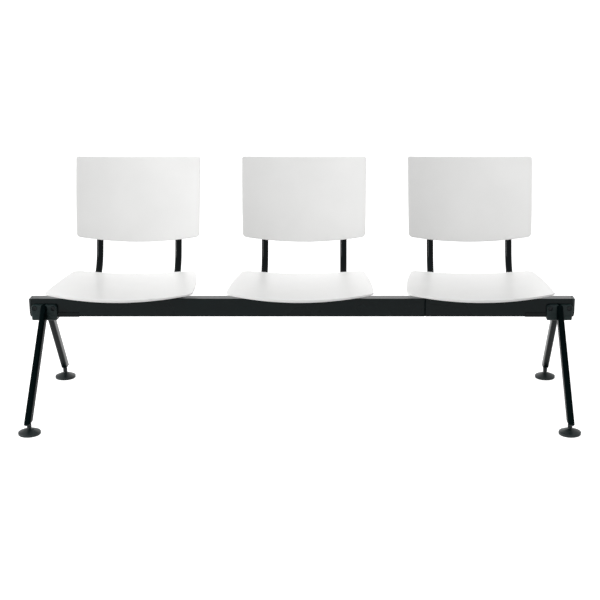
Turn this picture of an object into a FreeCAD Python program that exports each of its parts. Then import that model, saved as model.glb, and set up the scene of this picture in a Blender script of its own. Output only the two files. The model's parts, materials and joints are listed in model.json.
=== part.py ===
"""Three-seat beam seating: plastic seats and backs on bent tubes, on one box-section beam.

Millimetres. X runs along the beam, -Y is where the sitters face, +Z is up. The origin lies on the
floor, under the middle of the whole bench.
"""
import FreeCAD, Part
import math
import os
import re

import Sketcher

V = FreeCAD.Vector
X_AXIS = V(1, 0, 0)
Y_AXIS = V(0, 1, 0)
Z_AXIS = V(0, 0, 1)
NEAR = 0.01    # two lengths closer than this are the same

# Driving dimensions, each written once
SIZES = {
    # Beam: box section in two lengths, joined under the bench's right half
    "beam_overhang": 322,           # over the end cap, past the outer seat's middle
    "beam_width": 40,               # front to rear
    "beam_height": 60,
    "beam_wall": 2.5,
    "beam_corner": 4,
    "beam_top": 349,                # above the floor
    "seam_from_seat": 162,          # the beam's joint, left of the right-hand seat's middle
    "seam_gap": 2,
    "sleeve_length": 160,
    "sleeve_wall": 3,
    "slide_fit": 0.25,              # between a beam or tube and what is pushed into it
    "insert_corner": 2.5,           # of what is pushed into the beam
    "insert_inner_corner": 1,
    "joint_screw_near": 25,         # from the joint
    "joint_screw_far": 60,
    "joint_screw_diameter": 6,
    "joint_screw_flats": 10,
    "joint_screw_head_height": 4,
    "cap_flange": 9,
    "cap_depth": 14,
    "cap_wall": 2.5,
    "cap_chamfer": 3.5,
    "cap_slot_play": 1,             # round the leg bolt that crosses the cap's spigot
    # Legs: one cast mount on each side of the beam, with a mitred tube on it
    "leg_from_end": 50,
    "mount_width": 82,
    "mount_height": 52,
    "rear_mount_height": 67,
    "mount_thickness": 12,
    "mount_drop": 15,               # its top, below the beam's
    "rear_mount_drop": 8,
    "mount_corner": 9,
    "mount_chamfer": 2.5,
    "hook_thickness": 5,            # the mount's foot under the beam
    "hook_corner": 1,
    "hook_gap": 1,                  # from the hook's end to the beam's centre line
    "leg_bolt_spacing": 60,
    "leg_bolt_drop": 30,            # below the beam's top
    "leg_bolt_diameter": 8,
    "leg_bolt_head": 13,
    "leg_bolt_head_height": 5,
    "recess_diameter": 16,
    "recess_depth": 7,
    "nut_flats": 13,
    "nut_height": 6.5,
    "saddle_length": 150,
    "saddle_sheet": 2,
    "saddle_lip": 14,
    "leg_width": 20,
    "leg_depth": 34,
    "leg_wall": 2,
    "leg_corner": 7,
    "leg_drop": 41,                 # where its axis meets the mount, below the beam's top
    "leg_end_height": 41,           # its level lower end, above the floor
    "front_reach": 314,             # from the beam's centre line to the spindle
    "rear_reach": 212,
    "spindle_inset": 5,             # of the spindle, from the leg's end towards the beam
    # Feet
    "plug_flange": 3,
    "plug_chamfer": 2,
    "plug_tongue": 30,
    "plug_fit": 0.2,
    "spindle_diameter": 8,
    "spindle_length": 19,
    "spindle_fit": 0.2,
    "bore_relief": 2,               # the bore's depth past the spindle
    "collar_flats": 13,
    "collar_height": 16,
    "ball_diameter": 13,            # over the corners of its turned flats
    "ball_height": 15,              # its middle, above the floor
    "ball_play": 0.1,
    "pad_diameter": 69,
    "pad_rim": 6,
    "pad_chamfer": 2,
    "pad_height": 19,
    "pad_top_diameter": 18,
    # Seats
    "blank_margin": 20,             # of a moulding's sheet, past the outline that trims it
    "seat_pitch": 560,
    "seat_front_width": 450,
    "seat_rear_width": 398,
    "seat_side_bow": 5,
    "seat_front": 197,              # its front corners, ahead of the beam's centre line
    "seat_front_bow": 34,
    "seat_rear": 134,               # its rear corners, behind the beam's centre line
    "seat_rear_bow": 5,
    "seat_front_corner": 28,
    "seat_rear_corner": 24,
    "seat_rise": 22,                # the middle of its top, at the lowest, above the bracket
    "seat_low_behind": 16,
    "seat_front_lift": 8,
    "seat_side_lift_front": 15,
    "seat_side_lift_rear": 10,
    "seat_thickness": 5,
    "seat_lip": 8.5,
    "seat_lip_flat": 4,             # the lip's full thickness, back from the front edge
    "seat_lip_depth": 28,           # where it has thinned to the sheet
    "seat_rib": 3,
    "seat_rib_drop": 10,            # the ribs' lower edge, above the bracket
    "seat_post_diameter": 20,
    "seat_post_spread": 200,
    "seat_post_front": 102,
    "seat_post_rear": 71,
    "seat_screw_diameter": 6,
    "seat_screw_head": 12,
    "seat_screw_head_height": 3.5,
    "seat_screw_grip": 12,
    # Tubes that carry seat and back
    "tube_diameter": 22,
    "tube_wall": 1.5,
    "tube_spacing": 266,
    "tube_overhang": 24,            # ahead of the beam's front face
    "tube_run": 121,                # from the beam's centre line back to the bend
    "bend_radius": 120,
    "upright_length": 160,          # straight, above the bend
    "tube_plug_head": 2,
    "tube_plug_depth": 12,
    # Bracket between the beam, the tubes and the seat
    "bracket_sheet": 3,
    "bracket_width": 300,
    "bracket_front": 122,
    "bracket_rear": 91,
    "bracket_corner": 14,
    "channel_width": 190,
    "channel_depth": 38,
    "bracket_screw_diameter": 8,
    "bracket_screw_flats": 13,
    "bracket_screw_head_height": 5,
    "bracket_screw_length": 14,
    "bracket_screw_inner": 30,      # from the seat's middle
    "bracket_screw_outer": 72,
    "access_hole": 18,
    # Backs, in their own leaning frame
    "back_recline": 17.5,           # degrees from upright
    "back_gap": 35,                 # from the bend to the middle of the back's lower edge
    "back_height": 287,
    "back_bottom_width": 414,
    "back_top_width": 420,
    "back_bottom_bow": 16,
    "back_side_bow": 0.5,
    "back_top_bow": 2,
    "back_bottom_corner": 12,
    "back_top_corner": 7,
    "back_thickness": 5,
    "back_hollow": 25,
    "back_lumbar": 4,
    "sleeve_side": 4,
    "sleeve_start": 14,             # above the back's lower edge
    "sleeve_height": 122,
    "sleeve_bore_fit": 0.3,
    "sleeve_rounding": 6,
    "back_screw_diameter": 5,
    "back_screw_head": 10,
    "back_screw_head_height": 3,
    "back_screw_low": 30,           # above the back's lower edge
    "back_screw_high": 92,
}

# Sizes that follow from the ones above
FOLLOWS = {
    "beam_middle": "beam_top - beam_height / 2",
    "beam_bottom": "beam_top - beam_height",
    "beam_length": "(2 * seat_pitch + 2 * beam_overhang)",
    "beam_end": "beam_length / 2 - cap_flange",
    "seam": "seat_pitch - seam_from_seat",
    "leg_x": "(beam_length / 2 - leg_from_end)",
    "cap_bolt": "(leg_x + leg_bolt_spacing / 2 - (beam_end))",
    "cap_slot": "(leg_bolt_diameter / 2 + cap_slot_play)",
    "mount_middle": "(beam_top - mount_drop - mount_height / 2)",
    "rear_mount_middle": "(beam_top - rear_mount_drop - rear_mount_height / 2)",
    "mount_face": "beam_width / 2 + mount_thickness",
    "front_run": "(front_reach + spindle_inset - mount_face)",
    "rear_run": "(rear_reach + spindle_inset - mount_face)",
    "front_rake": "atan(front_run / (beam_top - leg_drop - leg_end_height))",
    "rear_rake": "atan(rear_run / (beam_top - leg_drop - leg_end_height))",
    "plug_bottom": "(leg_end_height - plug_flange)",
    "tube_height": "beam_top + tube_diameter / 2",
    "bracket_bottom": "beam_top + tube_diameter",
    "bracket_top": "beam_top + tube_diameter + bracket_sheet",
    "seat_height": "(bracket_top + seat_rise)",
    "bend_turn": "(90 - back_recline)",
    "bend_end_y": "tube_run + bend_radius * sin(bend_turn * 1 deg)",
    "bend_end_z": "tube_height + bend_radius * (1 - cos(bend_turn * 1 deg))",
    "back_base_y": "bend_end_y + back_gap * sin(back_recline * 1 deg)",
    "back_base_z": "bend_end_z + back_gap * cos(back_recline * 1 deg)",
    "collar_bottom": "(plug_bottom - collar_height)",
    "ball_wide": "(ball_diameter / 2 * cos(22.5 deg))",
    "ball_narrow": "(ball_diameter / 2 * sin(22.5 deg))",
    "socket_wide": "(ball_diameter / 2 + ball_play)",
    "socket_narrow": "(socket_wide * tan(22.5 deg))",
    "back_top_y": "back_base_y + back_height * sin(back_recline * 1 deg)",
    "back_rear": "back_top_y + (back_hollow * (tube_spacing / back_top_width) ^ 2"
                 " - tube_diameter / 2 - sleeve_bore_fit) * cos(back_recline * 1 deg)",
    "beam_ahead": "(back_rear - front_reach - pad_diameter / 2) / 2",
}

doc = FreeCAD.newDocument("BeamSeating")
sheet = doc.addObject("Spreadsheet::Sheet", "Sizes")
for row, (alias, size) in enumerate(SIZES.items(), start=1):
    sheet.set("A%d" % row, alias)
    sheet.set("B%d" % row, str(size))
    sheet.setAlias("B%d" % row, alias)
doc.recompute()

nodes = []


def formula(text):
    """Writes out a formula of named sizes as the sheet's cells."""
    def cell(match):
        word = match.group(0)
        if word in FOLLOWS:
            return "(" + formula(FOLLOWS[word]) + ")"
        return "Sizes." + word if word in SIZES else word
    return re.sub(r"[a-z][a-z_]*", cell, text)


def size(text):
    """The present value of a formula of named sizes."""
    value = sheet.evalExpression(formula(text))
    return float(getattr(value, "Value", value))


def place(thing, x="0", y="0", z="0", tilt=None):
    """Binds a thing's place, and its tilt about X, to the sheet."""
    if tilt is not None:
        thing.Placement = FreeCAD.Placement(V(), FreeCAD.Rotation(X_AXIS, 10))
        thing.setExpression("Placement.Rotation.Angle", formula(tilt))
    for axis, text in zip("xyz", (x, y, z)):
        thing.setExpression("Placement.Base." + axis, formula(text))


def new_body(label, x="0", y="0", z="0", tilt=None, turned=False):
    """Starts a node's body; turned faces it the other way, about Z."""
    body = doc.addObject("PartDesign::Body", label)
    body.Label = label
    if turned:
        body.Placement = FreeCAD.Placement(V(), FreeCAD.Rotation(Z_AXIS, 180))
        for axis, text in zip("xyz", (x, y, z)):
            body.setExpression("Placement.Base." + axis, formula(text))
    else:
        place(body, x, y, z, tilt)
    nodes.append(body)
    return body


def new_sketch(body, plane, name, x=None, y=None, offset=None):
    """A sketch on one of the body's own origin planes, shifted within it or off it."""
    sketch = body.newObject("Sketcher::SketchObject", name)
    support = [item for item in body.Origin.OriginFeatures if item.Role == plane][0]
    sketch.AttachmentSupport = [(support, "")]
    sketch.MapMode = "FlatFace"
    for axis, text in zip("xyz", (x, y, offset)):
        if text is not None:
            sketch.setExpression("AttachmentOffset.Base." + axis, formula(text))
    return sketch


def bind(sketch, kind, *arguments):
    """Adds a dimension whose last argument is a formula."""
    text = arguments[-1]
    index = sketch.addConstraint(Sketcher.Constraint(kind, *arguments[:-1], size(text)))
    sketch.setExpression("Constraints[%d]" % index, formula(text))


def fix_point(sketch, geometry, end, x, y):
    """Holds a point at x, y from the sketch's origin."""
    for kind, text, axis in (("DistanceX", x, -2), ("DistanceY", y, -1)):
        if text == "0":
            sketch.addConstraint(Sketcher.Constraint("PointOnObject", geometry, end, axis))
        else:
            bind(sketch, kind, -1, 1, geometry, end, text)


def rounded_rectangle(sketch, width, height, corner):
    """A rectangle with round corners, about the sketch's origin."""
    w = size(width) / 2
    h = size(height) / 2
    r = size(corner)
    first = sketch.GeometryCount
    ends = [((-w + r, -h), (w - r, -h)), ((w, -h + r), (w, h - r)),
            ((w - r, h), (-w + r, h)), ((-w, h - r), (-w, -h + r))]
    centres = [(w - r, -h + r), (w - r, h - r), (-w + r, h - r), (-w + r, -h + r)]
    for turn, ((start, finish), centre) in enumerate(zip(ends, centres)):
        sketch.addGeometry(Part.LineSegment(V(*start, 0), V(*finish, 0)))
        circle = Part.Circle(V(*centre, 0), Z_AXIS, r)
        angle = math.radians(90 * turn - 90)
        sketch.addGeometry(Part.ArcOfCircle(circle, angle, angle + math.pi / 2))
    for side in range(4):
        line = first + 2 * side
        arc = line + 1
        following = first + (2 * side + 2) % 8
        sketch.addConstraint(Sketcher.Constraint("Tangent", line, 2, arc, 1))
        sketch.addConstraint(Sketcher.Constraint("Tangent", arc, 2, following, 1))
        direction = "Horizontal" if side % 2 == 0 else "Vertical"
        sketch.addConstraint(Sketcher.Constraint(direction, line))
    for arc in (first + 3, first + 5, first + 7):
        sketch.addConstraint(Sketcher.Constraint("Equal", first + 1, arc))
    sketch.addConstraint(Sketcher.Constraint("Symmetric", first + 1, 3, first + 5, 3, -1, 1))
    bind(sketch, "Radius", first + 1, corner)
    bind(sketch, "DistanceX", first + 6, 1, first + 2, 1, width)
    bind(sketch, "DistanceY", first, 1, first + 4, 2, height)


def polygon(sketch, points):
    """A closed outline of straight lines through points given as formulas."""
    first = sketch.GeometryCount
    corners = [V(size(x), size(y), 0) for x, y in points]
    for corner, following in zip(corners, corners[1:] + corners[:1]):
        sketch.addGeometry(Part.LineSegment(corner, following))
    for index, (x, y) in enumerate(points):
        line = first + index
        following = first + (index + 1) % len(points)
        sketch.addConstraint(Sketcher.Constraint("Coincident", line, 2, following, 1))
        fix_point(sketch, line, 1, x, y)


def circle(sketch, diameter, x="0", y="0"):
    """A circle about a point given as formulas."""
    centre = V(size(x), size(y), 0)
    index = sketch.addGeometry(Part.Circle(centre, Z_AXIS, size(diameter) / 2))
    bind(sketch, "Diameter", index, diameter)
    fix_point(sketch, index, 3, x, y)


def pad(body, sketch, length, symmetric=False, reverse=False):
    """Raises a sketch into the body."""
    feature = body.newObject("PartDesign::Pad", sketch.Name + "_pad")
    feature.Profile = sketch
    feature.setExpression("Length", formula(length))
    feature.SideType = "Symmetric" if symmetric else "One side"
    feature.Reversed = reverse
    doc.recompute()
    return feature


def pocket(body, sketch, depth=None, symmetric=False, reverse=False):
    """Cuts a sketch out of the body, right through where no depth is given."""
    before = body.Shape.Volume
    feature = body.newObject("PartDesign::Pocket", sketch.Name + "_cut")
    feature.Profile = sketch
    feature.SideType = "Symmetric" if symmetric else "One side"
    feature.Reversed = reverse
    if depth is None:
        feature.Type = "ThroughAll"
    else:
        feature.setExpression("Length", formula(depth))
    doc.recompute()
    if body.Shape.Volume > before - 0.01:
        raise RuntimeError(sketch.Name + " cuts nothing")
    return feature


def chamfer(body, width, wanted):
    """Chamfers the edges of the body's last feature that wanted picks."""
    base = body.Tip
    names = ["Edge%d" % (number + 1) for number, edge in enumerate(base.Shape.Edges)
             if wanted(edge.BoundBox)]
    feature = body.newObject("PartDesign::Chamfer", body.Name + "_chamfer")
    feature.Base = (base, names)
    feature.setExpression("Size", formula(width))
    doc.recompute()


def turn_profile(body, label, points):
    """Turns a profile, given as formulas of radius and height, about the body's Z axis."""
    profile = new_sketch(body, "XZ_Plane", label + "_profile")
    polygon(profile, points)
    turning = body.newObject("PartDesign::Revolution", label + "_turning")
    turning.Profile = profile
    turning.ReferenceAxis = (profile, ["V_Axis"])
    turning.Angle = 360
    doc.recompute()


def shaped(label, shape):
    """A node whose shape is made from the sheet's sizes by this script."""
    node = doc.addObject("Part::Feature", label)
    node.Label = label
    node.Shape = shape
    nodes.append(node)
    return node


def hexagon(flats, height):
    """A hexagonal prism that stands on the XY plane."""
    corners = [V(flats / math.sqrt(3) * math.cos(math.radians(60 * k)),
                 flats / math.sqrt(3) * math.sin(math.radians(60 * k)), 0) for k in range(7)]
    return Part.Face(Part.makePolygon(corners)).extrude(V(0, 0, height))


def fastener(head, shank, length):
    """A screw: its head stands on the XY plane and its shank runs down -Z."""
    return head.fuse(Part.makeCylinder(shank / 2, length, V(0, 0, -length))).removeSplitter()


def copies(shape, places):
    """One compound with the shape at each place."""
    return Part.makeCompound([shape.transformed(spot.toMatrix()) for spot in places])


# Beam, its joint and its end caps

def beam_section(label, start, finish, seats, leg, seam_side):
    """One length of the beam with its holes; seam_side says on which side of the joint it lies."""
    body = new_body(label, start, "-beam_ahead", "beam_middle")
    outline = new_sketch(body, "YZ_Plane", label + "_outline")
    rounded_rectangle(outline, "beam_width", "beam_height", "beam_corner")
    rounded_rectangle(outline, "beam_width - 2 * beam_wall", "beam_height - 2 * beam_wall",
                      "beam_corner - beam_wall")
    pad(body, outline, "(%s) - (%s)" % (finish, start))
    bolts = new_sketch(body, "XZ_Plane", label + "_bolt_holes")
    for sign in ("-", "+"):
        circle(bolts, "leg_bolt_diameter", "%s %s leg_bolt_spacing / 2 - (%s)" % (leg, sign, start),
               "beam_height / 2 - leg_bolt_drop")
    pocket(body, bolts, symmetric=True)
    screws = new_sketch(body, "XY_Plane", label + "_screw_holes", offset="beam_height / 2")
    for seat in seats:
        for spread in ("- bracket_screw_outer", "- bracket_screw_inner",
                       "+ bracket_screw_inner", "+ bracket_screw_outer"):
            circle(screws, "bracket_screw_diameter", "%s %s - (%s)" % (seat, spread, start))
    pocket(body, screws, "beam_wall")
    joint = new_sketch(body, "XY_Plane", label + "_joint_holes", offset="-beam_height / 2 + beam_wall")
    for distance in ("joint_screw_near", "joint_screw_far"):
        circle(joint, "joint_screw_diameter", "seam %s %s - (%s)" % (seam_side, distance, start))
    pocket(body, joint, "beam_wall")


beam_section("beam_left", "-beam_end", "seam - seam_gap / 2", ("-seat_pitch", "0"), "-leg_x", "-")
beam_section("beam_right", "seam + seam_gap / 2", "beam_end", ("seat_pitch",), "leg_x", "+")

body = new_body("beam_joint_sleeve", "seam", "-beam_ahead", "beam_middle")
outline = new_sketch(body, "YZ_Plane", "sleeve_outline")
INSIDE_WIDTH = "beam_width - 2 * beam_wall - 2 * slide_fit"
INSIDE_HEIGHT = "beam_height - 2 * beam_wall - 2 * slide_fit"
rounded_rectangle(outline, INSIDE_WIDTH, INSIDE_HEIGHT, "insert_corner")
rounded_rectangle(outline, INSIDE_WIDTH + " - 2 * sleeve_wall", INSIDE_HEIGHT + " - 2 * sleeve_wall",
                  "insert_inner_corner")
pad(body, outline, "sleeve_length", symmetric=True)
holes = new_sketch(body, "XY_Plane", "sleeve_holes", offset="-(%s) / 2 + sleeve_wall" % INSIDE_HEIGHT)
for spread in ("-joint_screw_far", "-joint_screw_near", "joint_screw_near", "joint_screw_far"):
    circle(holes, "joint_screw_diameter", spread)
pocket(body, holes, "sleeve_wall")

joint_screw = fastener(hexagon(size("joint_screw_flats"), size("joint_screw_head_height")),
                       size("joint_screw_diameter"), size("beam_wall + slide_fit + sleeve_wall"))
shaped("beam_joint_screws", copies(joint_screw, [
    FreeCAD.Placement(V(size("seam") + spread, size("-beam_ahead"), size("beam_bottom")),
                      FreeCAD.Rotation(X_AXIS, 180))
    for spread in (size("-joint_screw_far"), size("-joint_screw_near"),
                   size("joint_screw_near"), size("joint_screw_far"))]))

for label, end, turned in (("end_cap_left", "-beam_end", True), ("end_cap_right", "beam_end", False)):
    body = new_body(label, end, "-beam_ahead", "beam_middle", turned=turned)
    flange = new_sketch(body, "YZ_Plane", label + "_flange")
    rounded_rectangle(flange, "beam_width", "beam_height", "beam_corner")
    pad(body, flange, "cap_flange")
    chamfer(body, "cap_chamfer", lambda box: box.XMin > size("cap_flange") - NEAR)
    spigot = new_sketch(body, "YZ_Plane", label + "_spigot")
    rounded_rectangle(spigot, INSIDE_WIDTH, INSIDE_HEIGHT, "insert_corner")
    rounded_rectangle(spigot, INSIDE_WIDTH + " - 2 * cap_wall", INSIDE_HEIGHT + " - 2 * cap_wall",
                      "insert_inner_corner")
    pad(body, spigot, "cap_depth", reverse=True)
    slot = new_sketch(body, "XZ_Plane", label + "_slot")
    polygon(slot, [("-2 * cap_depth", "-cap_slot"), ("cap_bolt + cap_slot", "-cap_slot"),
                   ("cap_bolt + cap_slot", "cap_slot"), ("-2 * cap_depth", "cap_slot")])
    pocket(body, slot, symmetric=True)


# Leg mounts, saddles and their bolts

def leg_mount(label, x, rear):
    """A cast block against the beam, with two recessed bolt holes and a hook under the beam."""
    y = "-beam_ahead + beam_width / 2" if rear else "-beam_ahead - beam_width / 2"
    middle = "rear_mount_middle" if rear else "mount_middle"
    body = new_body(label, x, y, middle, turned=rear)
    outline = new_sketch(body, "XZ_Plane", label + "_outline")
    rounded_rectangle(outline, "mount_width", "rear_mount_height" if rear else "mount_height",
                      "mount_corner")
    pad(body, outline, "mount_thickness")
    chamfer(body, "mount_chamfer", lambda box: box.YMax < size("-mount_thickness") + NEAR)
    hook = new_sketch(body, "XZ_Plane", label + "_hook",
                      y="beam_bottom - saddle_sheet - hook_thickness / 2 - " + middle)
    rounded_rectangle(hook, "mount_width - 2 * mount_corner", "hook_thickness", "hook_corner")
    pad(body, hook, "beam_width / 2 - hook_gap", reverse=True)
    rebate = new_sketch(body, "XZ_Plane", label + "_rebate")
    lip_top = "beam_bottom + saddle_lip - " + middle
    lip_low = "beam_bottom - saddle_sheet - " + middle
    polygon(rebate, [("-mount_width", lip_low), ("mount_width", lip_low),
                     ("mount_width", lip_top), ("-mount_width", lip_top)])
    pocket(body, rebate, "saddle_sheet", reverse=True)
    height = "beam_top - leg_bolt_drop - " + middle
    bores = new_sketch(body, "XZ_Plane", label + "_bores")
    circle(bores, "leg_bolt_diameter", "-leg_bolt_spacing / 2", height)
    circle(bores, "leg_bolt_diameter", "leg_bolt_spacing / 2", height)
    pocket(body, bores, reverse=True)
    recesses = new_sketch(body, "XZ_Plane", label + "_recesses", offset="mount_thickness")
    circle(recesses, "recess_diameter", "-leg_bolt_spacing / 2", height)
    circle(recesses, "recess_diameter", "leg_bolt_spacing / 2", height)
    pocket(body, recesses, "recess_depth")


def leg_saddle(label, start):
    """A pressed channel under the beam, which spreads the leg's load inboard."""
    body = new_body(label, start, "-beam_ahead", "beam_middle")
    outside = new_sketch(body, "YZ_Plane", label + "_outside")
    rounded_rectangle(outside, "beam_width + 2 * saddle_sheet", "beam_height + 2 * saddle_sheet",
                      "beam_corner + saddle_sheet")
    pad(body, outside, "saddle_length")
    inside = new_sketch(body, "YZ_Plane", label + "_inside")
    rounded_rectangle(inside, "beam_width", "beam_height", "beam_corner")
    pocket(body, inside, reverse=True)
    above = new_sketch(body, "YZ_Plane", label + "_above")
    lip_top = "-beam_height / 2 + saddle_lip"
    polygon(above, [("-beam_width", lip_top), ("beam_width", lip_top),
                    ("beam_width", "beam_height"), ("-beam_width", "beam_height")])
    pocket(body, above, reverse=True)


bolt_length = size("beam_width + 2 * mount_thickness - 2 * recess_depth + nut_height")
leg_bolt = fastener(Part.makeCylinder(size("leg_bolt_head / 2"), size("leg_bolt_head_height")),
                    size("leg_bolt_diameter"), bolt_length)
leg_nut = hexagon(size("nut_flats"), size("nut_height")).cut(
    Part.makeCylinder(size("leg_bolt_diameter / 2"), size("nut_height")))

for side, sign in (("left", -1), ("right", 1)):
    leg_x = "-leg_x" if sign < 0 else "leg_x"
    leg_mount("front_leg_mount_" + side, leg_x, rear=False)
    leg_mount("rear_leg_mount_" + side, leg_x, rear=True)
    leg_saddle("leg_saddle_" + side, "-leg_x - mount_width / 2" if sign < 0
               else "leg_x + mount_width / 2 - saddle_length")
    bolt_places = [V(sign * size("leg_x") + spread, 0, size("beam_top - leg_bolt_drop"))
                   for spread in (size("-leg_bolt_spacing / 2"), size("leg_bolt_spacing / 2"))]
    head_y = size("-beam_ahead - beam_width / 2 - mount_thickness + recess_depth")
    nut_y = size("-beam_ahead + beam_width / 2 + mount_thickness - recess_depth")
    shaped("leg_bolts_" + side, copies(leg_bolt, [
        FreeCAD.Placement(spot + V(0, head_y, 0), FreeCAD.Rotation(X_AXIS, 90)) for spot in bolt_places]))
    shaped("leg_nuts_" + side, copies(leg_nut, [
        FreeCAD.Placement(spot + V(0, nut_y, 0), FreeCAD.Rotation(X_AXIS, -90)) for spot in bolt_places]))


# Legs and feet

def leg_tube(label, x, front):
    """An oval tube raked out from its mount, mitred against it and cut level at the foot."""
    rake = "front_rake" if front else "rear_rake"
    run = "front_run" if front else "rear_run"
    side = "-" if front else "+"
    body = new_body(label, x, "-beam_ahead %s (mount_face + %s)" % (side, run), "leg_end_height",
                    tilt=("-" if front else "") + rake)
    fall = "leg_depth * tan(%s)" % rake
    rise = "leg_depth / tan(%s)" % rake
    length = "%s / sin(%s)" % (run, rake)
    outline = new_sketch(body, "XY_Plane", label + "_outline", offset="-" + fall)
    rounded_rectangle(outline, "leg_width", "leg_depth", "leg_corner")
    rounded_rectangle(outline, "leg_width - 2 * leg_wall", "leg_depth - 2 * leg_wall",
                      "leg_corner - leg_wall")
    pad(body, outline, "%s + %s + %s" % (fall, length, rise))
    low, high = ("-", "+") if front else ("+", "-")
    mitre = new_sketch(body, "YZ_Plane", label + "_mitre")
    polygon(mitre, [("-leg_depth", "%s %s %s" % (length, high, rise)),
                    ("leg_depth", "%s %s %s" % (length, low, rise)),
                    ("leg_depth", "%s + 3 * %s" % (length, rise)),
                    ("-leg_depth", "%s + 3 * %s" % (length, rise))])
    pocket(body, mitre, symmetric=True)
    level = new_sketch(body, "YZ_Plane", label + "_level")
    polygon(level, [("-leg_depth", low + fall), ("leg_depth", high + fall),
                    ("leg_depth", "-3 * " + fall), ("-leg_depth", "-3 * " + fall)])
    pocket(body, level, symmetric=True)


def leg_plug_shape(front):
    """A moulded plug in the leg's level lower end, with an upright bore for the foot's spindle."""
    side = -1 if front else 1
    rake = size("front_rake" if front else "rear_rake") * side
    end = V(0, size("spindle_inset") * side, size("leg_end_height"))
    lean = FreeCAD.Placement(end, FreeCAD.Rotation(X_AXIS, rake)).toMatrix()
    reach = size("leg_depth")

    def slab(inset, top):
        width = size("leg_width") - 2 * inset
        depth = size("leg_depth") - 2 * inset
        block = Part.makeBox(width, depth, top + 2 * reach, V(-width / 2, -depth / 2, -2 * reach))
        uprights = [edge for edge in block.Edges if edge.BoundBox.ZLength > top + 2 * reach - NEAR]
        return block.makeFillet(size("leg_corner") - inset, uprights).transformed(lean)

    def level(bottom, top):
        return Part.makeBox(2 * reach, 8 * reach, top - bottom, V(-reach, -4 * reach, bottom))

    bottom = size("plug_bottom")
    end_height = size("leg_end_height")
    tongue = slab(size("leg_wall + plug_fit"), size("plug_tongue")).common(level(end_height, 4 * reach))
    flange = slab(0, reach).common(level(bottom, end_height))
    lower_edges = [edge for edge in flange.Edges if edge.BoundBox.ZMax < bottom + NEAR]
    flange = flange.makeChamfer(size("plug_chamfer"), lower_edges)
    bore = Part.makeCylinder(size("spindle_diameter / 2 + spindle_fit"),
                             size("spindle_length + bore_relief"), V(0, 0, bottom))
    return tongue.fuse(flange).removeSplitter().cut(bore)


def foot_stem(label, x, y):
    """A spindle with a hexagon collar and a ball end, which is turned with eight flats."""
    body = new_body(label, x, y, "0")
    tip = "plug_bottom + spindle_length"
    turn_profile(body, label, [
        ("0", "ball_height - ball_wide"), ("ball_narrow", "ball_height - ball_wide"),
        ("ball_wide", "ball_height - ball_narrow"), ("ball_wide", "ball_height + ball_narrow"),
        ("spindle_diameter / 2", "ball_height + sqrt(ball_diameter ^ 2 - spindle_diameter ^ 2) / 2"),
        ("spindle_diameter / 2", tip), ("0", tip)])
    collar = new_sketch(body, "XY_Plane", label + "_collar", offset="collar_bottom")
    polygon(collar, [("collar_flats / sqrt(3) * cos(%d deg)" % (60 * k),
                      "collar_flats / sqrt(3) * sin(%d deg)" % (60 * k) if k % 3 else "0")
                     for k in range(6)])
    pad(body, collar, "collar_height")


def foot_pad(label, x, y):
    """A round pad: flat sole, upright rim, conical top and the socket that holds the ball."""
    body = new_body(label, x, y, "0")
    mouth = "socket_wide - (pad_height - ball_height - socket_narrow)"
    turn_profile(body, label, [
        ("0", "ball_height - socket_wide"), ("socket_narrow", "ball_height - socket_wide"),
        ("socket_wide", "ball_height - socket_narrow"), ("socket_wide", "ball_height + socket_narrow"),
        (mouth, "pad_height"), ("pad_top_diameter / 2", "pad_height"),
        ("pad_diameter / 2", "pad_rim"), ("pad_diameter / 2", "pad_chamfer"),
        ("pad_diameter / 2 - pad_chamfer", "0"), ("0", "0")])


plug_shapes = {True: leg_plug_shape(True), False: leg_plug_shape(False)}
for side, sign in (("left", "-"), ("right", "")):
    for end, front in (("front", True), ("rear", False)):
        x = sign + "leg_x"
        y = "-beam_ahead " + ("- front_reach" if front else "+ rear_reach")
        leg_tube("%s_leg_%s" % (end, side), x, front)
        plug = shaped("%s_leg_plug_%s" % (end, side), plug_shapes[front])
        place(plug, x, y, "0")
        foot_stem("%s_foot_stem_%s" % (end, side), x, y)
        foot_pad("%s_foot_pad_%s" % (end, side), x, y)


# Seat and back shells

def strip(points_above, points_below, where):
    """The closed outline of a thin curved strip, from three points on each of its two arcs."""
    above = Part.Arc(*[where(*point) for point in points_above]).toShape()
    below = Part.Arc(*[where(*point) for point in points_below]).toShape()
    left = Part.makeLine(where(*points_below[0]), where(*points_above[0]))
    right = Part.makeLine(where(*points_above[2]), where(*points_below[2]))
    return Part.Wire([above, right, below, left])


def outline_prism(front_y, rear_y, front_width, rear_width, bows, corners, height):
    """A prism over a four-sided outline with bowed sides (front, side, rear) and round corners."""
    front_bow, side_bow, rear_bow = bows
    f = front_width / 2
    r = rear_width / 2
    middle = (front_y + rear_y) / 2
    side_x = (f + r) / 2 + side_bow
    edges = [Part.Arc(V(-f, front_y, 0), V(0, front_y - front_bow, 0), V(f, front_y, 0)),
             Part.Arc(V(f, front_y, 0), V(side_x, middle, 0), V(r, rear_y, 0)),
             Part.Arc(V(r, rear_y, 0), V(0, rear_y + rear_bow, 0), V(-r, rear_y, 0)),
             Part.Arc(V(-r, rear_y, 0), V(-side_x, middle, 0), V(-f, front_y, 0))]
    prism = Part.Face(Part.Wire([edge.toShape() for edge in edges])).extrude(V(0, 0, height))
    for end_y, radius in ((front_y, corners[0]), (rear_y, corners[1])):
        uprights = [edge for edge in prism.Edges
                    if edge.BoundBox.ZLength > height - NEAR and abs(edge.BoundBox.YMin - end_y) < NEAR]
        prism = prism.makeFillet(radius, uprights)
    return prism


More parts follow.
